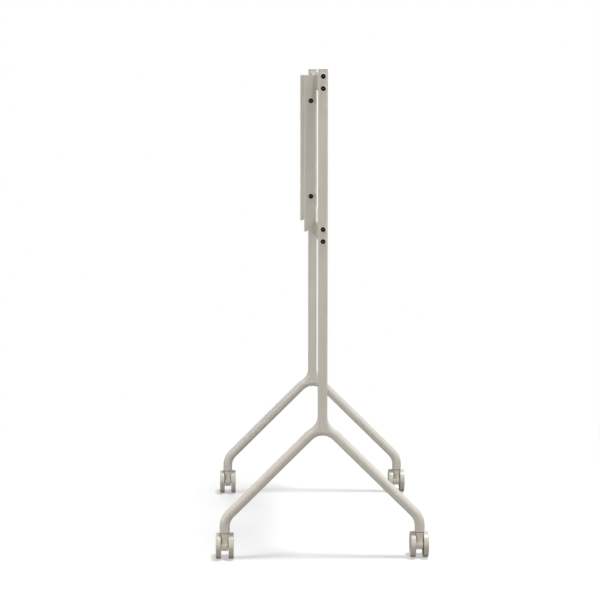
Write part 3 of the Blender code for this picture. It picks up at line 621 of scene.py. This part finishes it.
def weavePost(bm, start, postTop, size):
    # From the ring over the fillets to the open top, and down the pocket for the cap
    pocketScale = (postHalf - size["postWall"]) / postHalf
    rings = [start]
    for scale, z in ((1.0, postTop), (pocketScale, postTop), (pocketScale, postTop - size["pocketDepth"])):
        rings.append([bm.verts.new((vert.co.x * scale, vert.co.y * scale, z)) for vert in start])
    weave(bm, rings, wrap=True)
    bm.faces.new(rings[-1])


def weaveSideFrame(size):
    bm = bmesh.new()
    fork = forkForm(size)
    fillets, seams, topRows = {}, {}, {}
    for side in (-1, 1):
        fillets[side], seams[side] = weaveLeg(bm, fork, side, size)
    lips = weaveArch(bm, fork, fillets, seams, size)
    for face, column in ((1, 0), (-1, -1)):
        left, right = ([row[column] for row in fillets[side]] for side in (-1, 1))
        topRows[face] = weavePatch(bm, left, right, lips[face], size)
    start = fillets[-1][0] + topRows[-1][1:-1] + fillets[1][0][::-1] + topRows[1][1:-1][::-1]
    weavePost(bm, start, fork["postTop"], size)
    return bm


def bossProfile(size):
    # A low cone pressed up round each bolt, with a flat seat for its head
    face = postHalf + size["bossHeight"]
    corners = [
        (0, postHalf - size["bossSink"]), (size["bossFoot"], postHalf - size["bossSink"]),
        (size["bossFoot"], postHalf), (size["bossSeat"], face), (0, face),
    ]
    return roundedOutline(corners, [0, 0, 0, size["bossRound"], 0], size["bossSteps"])


def makeSideFrames(size):
    sample = newObject("sideFrameRight", meshFrom(weaveSideFrame(size), "sideFrame"))
    boss = bossProfile(size)
    bosses = [(lathe(boss, size["bossSides"]), (0, 0, level), acrossTurn) for level in boltLevels]
    shape(sample, bosses, "UNION")
    holes = [boltHole(2 * postHalf, (0, 0, level)) for level in boltLevels]
    shape(sample, holes, "DIFFERENCE")
    shade(sample.data, finishes["beige_paint"])
    sample.location.x = postX["right"]
    other = newObject("sideFrameLeft", sample.data, (postX["left"], 0, 0), (0, 0, math.pi))
    for piece, side in ((sample, "right"), (other, "left")):
        piece.modifiers.new("normals", "WEIGHTED_NORMAL").keep_sharp = True
        settle(piece, "beige_paint", "frame", "side_frame_" + side)


makeSideFrames(frameSizes)
print("side frames woven")


# Post caps

capSizes = {
    "plate": 0.0025, "plugGap": 0.0003, "plugCorner": 0.0027, "plugStart": 0.0008, "edge": 0.0009, "steps": 8,
}


def makePostCaps(size):
    plugHalf = postHalf - frameSizes["postWall"] - size["plugGap"]
    plateZ = standHeight - size["plate"]
    sections = [
        (capLow.z, plugHalf - size["plugStart"], size["plugCorner"] - size["plugStart"]),
        (capLow.z + size["plugStart"], plugHalf, size["plugCorner"]),
        (plateZ, plugHalf, size["plugCorner"]),
        (plateZ, postHalf, frameSizes["postCorner"]),
    ]
    for step in range(size["steps"] + 1):
        angle = math.pi / 2 * step / size["steps"]
        inset = size["edge"] * (1 - math.cos(angle))
        z = standHeight - size["edge"] * (1 - math.sin(angle))
        sections.append((z, postHalf - inset, frameSizes["postCorner"] - inset))
    rings = []
    for z, half, corner in sections:
        outline = roundedOutline(rectangle(-half, half, -half, half), [corner] * 4, size["steps"])
        rings.append([(point.x, point.y, z) for point in outline])
    mesh = meshFrom(loftRings(rings), "postCap")
    shade(mesh, finishes["cap_plastic"])
    for side in ("right", "left"):
        cap = newObject("postCap" + side.capitalize(), mesh, (postX[side], 0, 0))
        settle(cap, "cap_plastic", "frame", "post_cap_" + side)


makePostCaps(capSizes)
print("post caps made")


# Cross beams

beamSizes = {"corner": 0.004, "cornerSteps": 8, "endEdge": 0.0004}


def makeBeam(name, node, size):
    low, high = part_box(node)
    section = rectangle(low.y, high.y, low.z, high.z)
    outline = roundedOutline(section, [size["corner"]] * 4, size["cornerSteps"])
    beam = newObject(name, meshFrom(extruded(outline, "X", low.x, high.x), name))
    shade(beam.data, finishes["beige_paint"])
    breakEdges(beam, size["endEdge"])
    settle(beam, "beige_paint", "frame", node)


makeBeam("topBeam", "top_beam", beamSizes)
makeBeam("lowerBeam", "lower_beam", beamSizes)
print("cross beams made")


# Button-head bolts

boltSizes = {
    "headRadius": 0.0070, "headHeight": 0.0044, "crownRadius": 0.0036, "rim": 0.0010, "rimRound": 0.0004,
    "shankRadius": 0.0040, "shankChamfer": 0.0006, "socketFlats": 0.0050, "socketDepth": 0.0026,
    "socketChamfer": 0.0003, "drillRadius": 0.0012, "drillDepth": 0.0034, "sides": 48, "domeSteps": 8,
}


def boltMesh(name, length, size):
    # The seat is at Z = 0, the dome above it and the shank below
    bm = bmesh.new()
    angles = [2 * math.pi * side / size["sides"] for side in range(size["sides"])]

    def ring(radii, z):
        verts = []
        for radius, angle in zip(radii, angles):
            verts.append(bm.verts.new((radius * math.cos(angle), radius * math.sin(angle), z)))
        return verts

    def circle(radius, z):
        return ring([radius] * size["sides"], z)

    def hexagon(grow, z):
        half = size["socketFlats"] / 2 + grow
        return ring([half / math.cos(angle % (math.pi / 3) - math.pi / 6) for angle in angles], z)

    loops = [
        circle(size["shankRadius"] - size["shankChamfer"], -length),
        circle(size["shankRadius"], size["shankChamfer"] - length),
        circle(size["shankRadius"], 0),
        circle(size["headRadius"] - size["rimRound"], 0),
        circle(size["headRadius"], size["rimRound"]),
        circle(size["headRadius"], size["rim"]),
    ]
    for step in range(1, size["domeSteps"] + 1):
        angle = math.pi / 2 * step / size["domeSteps"]
        radius = size["crownRadius"] + (size["headRadius"] - size["crownRadius"]) * math.cos(angle)
        loops.append(circle(radius, size["rim"] + (size["headHeight"] - size["rim"]) * math.sin(angle)))
    loops.append(hexagon(size["socketChamfer"], size["headHeight"]))
    loops.append(hexagon(0, size["headHeight"] - size["socketChamfer"]))
    loops.append(hexagon(0, size["headHeight"] - size["socketDepth"]))
    loops.append(circle(size["drillRadius"], size["headHeight"] - size["socketDepth"]))
    for lower, upper in zip(loops, loops[1:]):
        joinRings(bm, lower, upper)
    bm.faces.new(loops[0])
    # The drill's point gets bright bare steel, which paints a glint into the black socket's centre
    glintTip = bm.verts.new((0, 0, size["headHeight"] - size["drillDepth"]))
    joinRings(bm, loops[-1], [glintTip])
    for face in glintTip.link_faces:
        face.material_index = 1  # the drill's point is bare steel, a painted glint at the socket's centre
    mesh = meshFrom(bm, name)
    shade(mesh, finishes["black_steel"])
    mesh.materials.append(finishes["bare_steel"])
    return mesh


def makeBolts(size):
    meshes = {}
    for node in sorted(name for name in nodes if "_bolt_" in name):
        kind = node[:node.index("_bolt_")]
        side = 1 if "_right" in node else -1
        low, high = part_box(node)
        if kind not in meshes:
            meshes[kind] = boltMesh(kind + "Bolt", high.x - low.x - size["headHeight"], size)
        seat = high.x - size["headHeight"] if side > 0 else low.x + size["headHeight"]
        place = [seat] + middleOf(node)[1:]
        body = "frame" if kind == "beam" else "rail_" + ("right" if side > 0 else "left")
        bolt = newObject(node.replace("_bolt_", "Bolt_"), meshes[kind], place, (0, side * math.pi / 2, 0))
        settle(bolt, "black_steel", body, node)


makeBolts(boltSizes)
print("bolts made")


# Upright rails: folded channels with slots, a curved nose and a relief for the hook

railSizes = {
    "wall": 0.0025, "fold": 0.0040, "nose": 0.059, "noseSteps": 24,
    "reliefDepth": 0.006, "reliefDrop": 0.0440,
    "slotWidth": 0.0086, "slotLength": 0.026, "slotOffsets": (0.100, 0.150, 0.200), "slotSteps": 12,
    "edge": 0.00035, "foldSteps": 6,
}


def railSection(low, high, half, size):
    # The folded channel, seen from above
    inner = half - size["wall"]
    innerY = low.y + size["wall"]
    outside = [(-half, high.y), (-half, low.y), (half, low.y), (half, high.y)]
    inside = [(inner, high.y), (inner, innerY), (-inner, innerY), (-inner, high.y)]
    section = openPath(outside, size["fold"], size["foldSteps"])
    return section + openPath(inside, size["fold"] - size["wall"], size["foldSteps"])


def railSideView(low, high, size):
    # The nose below and the relief above, with room to spare before and behind
    reliefZ = middleOf("top_beam")[2] - size["reliefDrop"]
    reliefY = high.y - size["reliefDepth"]
    reliefFoot = reliefZ - size["reliefDepth"]
    spareY = low.y - size["slotLength"]
    backY = high.y + size["wall"]
    outline = [(spareY, low.z)]
    for step in range(size["noseSteps"]):
        angle = math.pi / 2 * step / size["noseSteps"]
        y = low.y + (high.y - low.y) * math.sin(angle)
        outline.append((y, low.z + size["nose"] * (1 - math.cos(angle))))
    outline += [(backY, low.z + size["nose"]), (backY, reliefFoot), (high.y, reliefFoot)]
    return outline + [(reliefY, reliefZ), (reliefY, high.z), (spareY, high.z)]


def railBoltPlace(kind, side):
    return [0] + middleOf("rail_bolt_" + side + "_" + kind)[1:]


def railCuts(side, low, half, middleZ, size):
    # Slots through the front and a hole across for each hook's bolt
    straight = (size["slotLength"] - size["slotWidth"]) / 2
    slot = arcPoints((0, straight), size["slotWidth"] / 2, 0, math.pi, size["slotSteps"])
    slot += arcPoints((0, -straight), size["slotWidth"] / 2, math.pi, 2 * math.pi, size["slotSteps"])
    cuts = []
    for offset in size["slotOffsets"]:
        for level in (-offset, offset):
            cut = extruded(slot, "Y", low.y - size["slotLength"], low.y + 2 * size["wall"])
            cuts.append((cut, (0, 0, middleZ + level), noTurn))
    return cuts + [boltHole(2 * half, railBoltPlace(kind, side)) for kind in ("upper", "lower")]


def makeRail(side, size):
    node = "screen_rail_" + side
    low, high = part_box(node)
    half = (high.x - low.x) / 2
    spare = size["slotLength"]
    channel = extruded(railSection(low, high, half, size), "Z", low.z - spare, high.z + spare)
    rail = newObject("screenRail" + side.capitalize(), meshFrom(channel, "screenRail"))
    sideView = extruded(railSideView(low, high, size), "X", -2 * half, 2 * half)
    shape(rail, [(sideView, origin, noTurn)], "INTERSECT")
    shape(rail, railCuts(side, low, half, middleOf(node)[2], size), "DIFFERENCE")
    shade(rail.data, finishes["beige_paint"])
    breakEdges(rail, size["edge"])
    rail.location.x = middleOf(node)[0]
    settle(rail, "beige_paint", "rail_" + side, node)


for side in ("right", "left"):
    makeRail(side, railSizes)
print("upright rails made")


# Hooks: a folded plate with two ears and a welded nut on each

hookSizes = {
    "plate": 0.004, "ear": 0.003, "bend": 0.002, "bendSteps": 6, "lipDrop": 0.015, "beamGap": 0.0003,
    "backSpare": 0.0006, "upperEarRise": 0.018, "lowerEarTaper": 0.0645, "earCorner": 0.006, "earGap": 0.0028,
    "nutFlats": 0.013, "nutHeight": 0.005, "nutSides": 6, "edge": 0.0003,
}


def hookOutlines(kind, low, high, size):
    # The plate, folded over the top beam or flat on the lower one, and its ear, seen from the side
    beam = "top_beam" if kind == "upper" else "lower_beam"
    beamLow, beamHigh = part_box(beam)
    beamZ = middleOf(beam)[2]
    backY = beamLow.y - size["beamGap"]
    frontY = backY - size["plate"]
    earY = backY - size["plate"] / 2
    if kind == "upper":
        beamTop = beamHigh.z + size["beamGap"]
        over = beamTop + size["plate"]
        lipZ = beamTop - size["lipDrop"]
        lipY = beamHigh.y + size["backSpare"]
        farY = lipY + size["plate"]
        inner = [(backY, low.z), (backY, beamTop), (lipY, beamTop), (lipY, lipZ)]
        outer = [(farY, lipZ), (farY, over), (frontY, over), (frontY, low.z)]
        plate = openPath(inner, size["bend"], size["bendSteps"])
        plate += openPath(outer, size["bend"] + size["plate"], size["bendSteps"])
        top = beamZ + size["upperEarRise"]
        corners = rectangle(low.y, earY, low.z, top)
        radii = [size["earCorner"], 0, 0, size["earCorner"]]
    else:
        plate = rectangle(frontY, backY, low.z, high.z)
        corners = [(frontY - size["plate"], low.z), (earY, low.z), (earY, high.z)]
        corners += [(low.y, high.z), (low.y, beamZ + size["lowerEarTaper"])]
        radii = [size["plate"] / 2, 0, 0, size["earCorner"], size["earCorner"]]
    return plate, roundedOutline(corners, radii, size["bendSteps"])


def makeHook(kind, side, size):
    node = kind + "_hook_" + side
    low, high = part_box(node)
    half = (high.x - low.x) / 2
    boltPlace = railBoltPlace(kind, side)
    plate, ear = hookOutlines(kind, low, high, size)
    hook = newObject(kind + "Hook" + side.capitalize(), meshFrom(extruded(plate, "X", -half, half), "hook"))
    outside = half - size["earGap"]
    inside = outside - size["ear"]
    ears = [(extruded(ear, "X", hand * inside, hand * outside), origin, noTurn) for hand in (-1, 1)]
    shape(hook, ears, "UNION")
    nutRadius = size["nutFlats"] / 2 / math.cos(math.pi / size["nutSides"])
    nuts = []
    for hand in (-1, 1):
        nut = pin(nutRadius, inside - size["nutHeight"], (inside + outside) / 2, size["nutSides"])
        nuts.append((nut, boltPlace, (0, hand * math.pi / 2, 0)))
    shape(hook, nuts, "UNION")
    shape(hook, [boltHole(half, boltPlace)], "DIFFERENCE")
    shade(hook.data, finishes["beige_paint"])
    breakEdges(hook, size["edge"])
    hook.location.x = middleOf(node)[0]
    settle(hook, "beige_paint", "rail_" + side, node)


for side in ("right", "left"):
    for kind in ("upper", "lower"):
        makeHook(kind, side, hookSizes)
print("hooks made")


# Casters

casterSizes = {
    "sides": 72, "roundSteps": 4, "arcSteps": 8, "hoodSteps": 28, "boreSides": 32,
    "treadDepth": 0.0037, "treadRound": 0.0016, "treadFlank": 0.0002, "gap": 0.0003,
    "boreDepth": 0.0103, "hubBore": 0.0033, "hub": 0.0080, "hubRound": 0.0006,
    "web": 0.0050, "webRound": 0.0012, "rim": 0.0042, "rimInset": 0.0014, "rimRound": 0.0003,
    "lipWidth": 0.0016, "lipInset": 0.0010, "lipRound": 0.0005, "dish": 0.0022, "dishRound": 0.0014,
    "groove": 0.0110, "grooveWidth": 0.0006, "grooveRound": 0.0002, "dome": 0.0009,
    "hood": 0.03525, "hoodEnd": math.radians(-4.0), "boss": 0.0105, "bossStart": math.radians(-58.0),
    "chin": 0.0034, "front": 0.0250, "frontLow": math.radians(-160.0), "frontHigh": math.radians(-206.0),
    "collar": 0.0125, "brow": (-0.0040, 0.0515), "nose": 0.0110, "noseFoot": 0.0455, "noseRound": 0.0085,
    "sideInset": 0.0009, "spacer": 0.0068, "edge": 0.0006, "creaseAngle": 40.0,
    "stemBore": 0.0058, "stemDepth": 0.0268, "axleBore": 0.0033, "turnStep": math.pi / 2,
}


def wheelMesh(size, radius, width):
    # Turned from the inner face at Z = 0 to the outer face. Each corner has its own round.
    rim = radius - size["treadDepth"] - size["gap"]
    rimInside = rim - size["rim"]
    face = width - size["dish"]
    groove, half = size["groove"], size["grooveWidth"]
    corners = [
        (0, size["boreDepth"], 0), (size["hubBore"], size["boreDepth"], 0), (size["hubBore"], 0, 0),
        (size["hub"], 0, size["hubRound"]), (size["hub"], face - size["web"], size["webRound"]),
        (rimInside, face - size["web"], size["webRound"]), (rimInside, size["rimInset"], size["rimRound"]),
        (rim, size["rimInset"], 0), (rim, width - size["lipInset"], size["lipRound"]),
        (rim - size["lipWidth"], width - size["lipInset"] / 2, size["lipRound"]),
        (rimInside, face, size["dishRound"]), (groove + half, face, size["grooveRound"]),
        (groove, face - half, size["grooveRound"]), (groove - half, face, size["grooveRound"]),
    ]
    radii = [corner[2] for corner in corners]
    profile = roundedOutline([corner[:2] for corner in corners], radii, size["roundSteps"])
    for step in range(1, size["roundSteps"]):
        rise = math.pi / 2 * step / size["roundSteps"]
        profile.append(((groove - 2 * half) * math.cos(rise), face + size["dome"] * math.sin(rise)))
    profile.append((0, face + size["dome"]))
    return lathe(profile, size["sides"])


def treadMesh(size, radius, width):
    inner = radius - size["treadDepth"]
    corners = [(inner, size["treadFlank"]), (radius, 0), (radius, width), (inner, width - size["treadFlank"])]
    profile = roundedOutline(corners, [0, size["treadRound"], size["treadRound"], 0], size["arcSteps"])
    return lathe(profile, size["sides"], closed=True)


def housingOutline(size, axle, topZ):
    # From the side: a hood that follows the wheels, a boss round the axle and a bellied front
    collar = Vector((size["collar"], topZ))
    reach = collar - axle
    tangent = math.atan2(reach.y, reach.x) - math.acos(size["hood"] / reach.length)
    low = Vector((math.cos(size["frontLow"]), math.sin(size["frontLow"])))
    chin = axle + low * (size["front"] - size["chin"])
    steps = size["arcSteps"]
    outline = [collar]
    outline += arcPoints(axle, size["hood"], tangent, size["hoodEnd"], size["hoodSteps"])
    outline += arcPoints(axle, size["boss"], size["bossStart"], -math.pi / 2, steps)
    outline += arcPoints(chin, size["chin"], -math.pi / 2, size["frontLow"], steps)[:-1]
    outline += arcPoints(axle, size["front"], size["frontLow"], size["frontHigh"], 2 * steps)
    return outline + [Vector(size["brow"]), Vector((size["brow"][0], topZ))]


def makeHousing(size, axle, halfWidth, topZ):
    # The hood with its edges rounded, and a nose with round corners that reaches the collar
    outline = housingOutline(size, axle, topZ)
    bm = extruded(outline, "Y", size["sideInset"] - halfWidth, halfWidth - size["sideInset"])
    rims = [edge for edge in bm.edges if abs(edge.verts[0].co.y - edge.verts[1].co.y) < size["gap"]]
    rounding = {"offset": size["edge"], "segments": size["roundSteps"], "profile": 0.5}
    bmesh.ops.bevel(bm, geom=rims, affect="EDGES", **rounding)
    body = newObject("sample", meshFrom(bm, "casterHousing"))
    half = size["nose"]
    radii = [size["noseRound"], 0, 0, size["noseRound"]]
    nose = roundedOutline(rectangle(-half, 0, -half, half), radii, 2 * size["arcSteps"])
    axlePlace = (axle.x, 0, axle.y)
    shape(body, [
        (extruded(nose, "Z", size["noseFoot"], topZ), origin, noTurn),
        (pin(size["spacer"], -halfWidth, halfWidth, size["boreSides"]), axlePlace, alongTurn),
    ], "UNION")
    shape(body, [
        (pin(size["stemBore"], topZ - size["stemDepth"], 2 * topZ, size["boreSides"]), origin, noTurn),
        (pin(size["axleBore"], -topZ, topZ, size["boreSides"]), axlePlace, alongTurn),
    ], "DIFFERENCE")
    mesh = body.data
    bpy.data.objects.remove(body, do_unlink=True)
    return mesh


def makeCasters(size):
    treadLow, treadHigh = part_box("tread_inner_front_right")
    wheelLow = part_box("wheel_inner_front_right")[0]
    bodyLow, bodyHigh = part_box("caster_housing_front_right")
    swivel = Vector(joints["swivel_front_right"]["pos_m"])
    radius = (treadHigh.z - treadLow.z) / 2
    axleZ = treadLow.z + radius
    halfGap = wheelLow.y - swivel.y
    width = treadHigh.y - wheelLow.y
    trail = swivel.x - middleOf("tread_inner_front_right")[0]
    housing = makeHousing(size, Vector((trail, axleZ)), (bodyHigh.y - bodyLow.y) / 2, bodyHigh.z)
    wheel = meshFrom(wheelMesh(size, radius, width), "casterWheel")
    tread = meshFrom(treadMesh(size, radius, width), "casterTread")
    shade(housing, finishes["caster_moulding"], size["creaseAngle"])
    shade(wheel, finishes["caster_moulding"])
    shade(tread, finishes["tread_rubber"])

    parts = (("wheel", wheel, "caster_moulding"), ("tread", tread, "tread_rubber"))
    count = 0  # each wheel has rolled on by a quarter of a turn from the last
    for corner in ("front_right", "front_left", "rear_right", "rear_left"):
        x, y = joints["swivel_" + corner]["pos_m"][:2]
        label = corner.title().replace("_", "")
        body = newObject("casterHousing" + label, housing, (x, y, 0), (0, 0, math.pi))
        settle(body, "caster_moulding", "caster_" + corner, "caster_housing_" + corner)
        for place in ("inner", "outer"):
            node = "wheel_" + place + "_" + corner
            side = math.copysign(1.0, middleOf(node)[1] - y)
            count += 1
            rolled = Matrix.Rotation(size["turnStep"] * count, 3, "Y")
            lay = rolled @ Euler((-side * math.pi / 2, 0, 0)).to_matrix()
            where = (x - trail, y + side * halfGap, axleZ)
            for part, mesh, slotName in parts:
                piece = newObject(part + place.capitalize() + label, mesh, where, lay.to_euler())
                settle(piece, slotName, node, part + "_" + place + "_" + corner)


def finishSolids():
    # The axles, stems and leg sockets stay as solids and get a finish
    for name, solid in nodes.items():
        if not solid.hide_render:
            slotName = "bare_steel" if "axle" in name or "stem" in name else "socket_plastic"
            solid.data.materials.clear()
            solid.data.materials.append(finishes[slotName])


makeCasters(casterSizes)
finishSolids()
print("casters made")


# Studio: floor, world, lamps and camera

studio = {
    "floorHalf": 12.0, "floorColour": (0.925, 0.90, 0.875), "floorGlow": 0.40, "floorBounce": 0.28,
    "litRadius": 1.1, "whiteRadius": 2.0, "fill": 0.15,
    "cameraPlace": (5.4891, -0.2166, 1.45145), "pitchDown": 7.5368, "turn": 1.695, "lens": 104.523,
}

coolLight = (0.89, 0.94, 1.0)
warmLight = (1.0, 0.98, 0.94)
lamps = {
    "overheadSoftbox": {
        "place": (2.25, 5.60, 29.0), "aim": (0.0, 0.0, 0.7), "size": 5.7, "power": 7050.0,
        "colour": coolLight, "mirrored": True,
    },
    "frontSoftbox": {
        "place": (6.20, 0.40, 2.40), "aim": (0.0, 0.0, 0.8), "size": 3.0, "power": 118.0,
        "colour": warmLight, "mirrored": False,
    },
    "leftSoftbox": {
        "place": (0.90, -2.60, 0.70), "aim": (0.0, -0.3, 0.2), "size": 1.0, "power": 22.0,
        "colour": coolLight, "mirrored": True,
    },
    "rightSoftbox": {
        "place": (0.90, 2.70, 2.00), "aim": (0.0, 0.3, 0.2), "size": 1.0, "power": 16.0,
        "colour": coolLight, "mirrored": True,
    },
    "backSoftbox": {
        "place": (-4.60, -0.40, 4.60), "aim": (0.0, 0.0, 0.8), "size": 2.6, "power": 62.0,
        "colour": warmLight, "mirrored": False,
    },
}


def seenRays(sheet):
    # 1 for rays from the camera, which see a plain white background
    return sheet.node("ShaderNodeLightPath", None, None, "Is Camera Ray")


def makeFloor(look):
    bm = bmesh.new()
    half = look["floorHalf"]
    bm.faces.new([bm.verts.new((x, y, 0)) for x, y in rectangle(-half, half, -half, half)])
    floor = newObject("studioFloor", meshFrom(bm, "studioFloor"))
    material = bpy.data.materials.new("studioFloor")
    material.use_nodes = True
    sheet = Sheet(material.node_tree)
    lit = sheet.node("ShaderNodeBsdfDiffuse", None, {"Color": rgba(look["floorColour"])})
    bounce = sheet.node("ShaderNodeBsdfDiffuse", None, {"Color": rgba((1, 1, 1), look["floorBounce"])})
    white = sheet.node("ShaderNodeEmission", None, {"Strength": 1.0})
    far = sheet.fade(sheet.distance(), look["litRadius"], look["whiteRadius"])
    glow = far * (1 - look["floorGlow"]) + look["floorGlow"]
    shown = sheet.node("ShaderNodeMixShader", None, {0: glow, 1: lit, 2: white})
    both = sheet.node("ShaderNodeMixShader", None, {0: seenRays(sheet), 1: bounce, 2: shown})
    sheet.node("ShaderNodeOutputMaterial", None, {"Surface": both})
    floor.data.materials.append(material)


def makeWorld(look):
    world = bpy.data.worlds.new("plainWhite")
    world.use_nodes = True
    bpy.context.scene.world = world
    sheet = Sheet(world.node_tree)
    fill = sheet.node("ShaderNodeBackground", None, {"Color": rgba((1, 1, 1)), "Strength": look["fill"]})
    white = sheet.node("ShaderNodeBackground", None, {"Color": rgba((1, 1, 1)), "Strength": 1.0})
    mirrored = sheet.node("ShaderNodeLightPath", None, None, "Is Glossy Ray")
    both = sheet.node("ShaderNodeMixShader", None, {0: seenRays(sheet) + mirrored, 1: fill, 2: white})
    sheet.node("ShaderNodeOutputWorld", None, {"Surface": both})


def makeLamps():
    for name, lamp in lamps.items():
        light = bpy.data.lights.new(name, "AREA")
        light.shape = "DISK"
        light.size = lamp["size"]
        light.energy = lamp["power"]
        light.color = lamp["colour"]
        holder = newObject(name, light, lamp["place"])
        aim = Vector(lamp["aim"]) - Vector(lamp["place"])
        holder.rotation_euler = aim.to_track_quat("-Z", "Y").to_euler()
        holder.visible_glossy = lamp["mirrored"]


def makeCamera(look):
    camera = bpy.data.cameras.new("sideView")
    camera.lens = look["lens"]
    holder = newObject("sideView", camera, look["cameraPlace"])
    turn = math.radians(look["turn"])
    pitch = math.radians(look["pitchDown"])
    ahead = Vector((-math.cos(pitch) * math.cos(turn), math.cos(pitch) * math.sin(turn), -math.sin(pitch)))
    holder.rotation_euler = ahead.to_track_quat("-Z", "Y").to_euler()
    bpy.context.scene.camera = holder


makeFloor(studio)
makeWorld(studio)
makeLamps()
makeCamera(studio)
bpy.context.scene.view_settings.view_transform = "Standard"
print("studio ready")
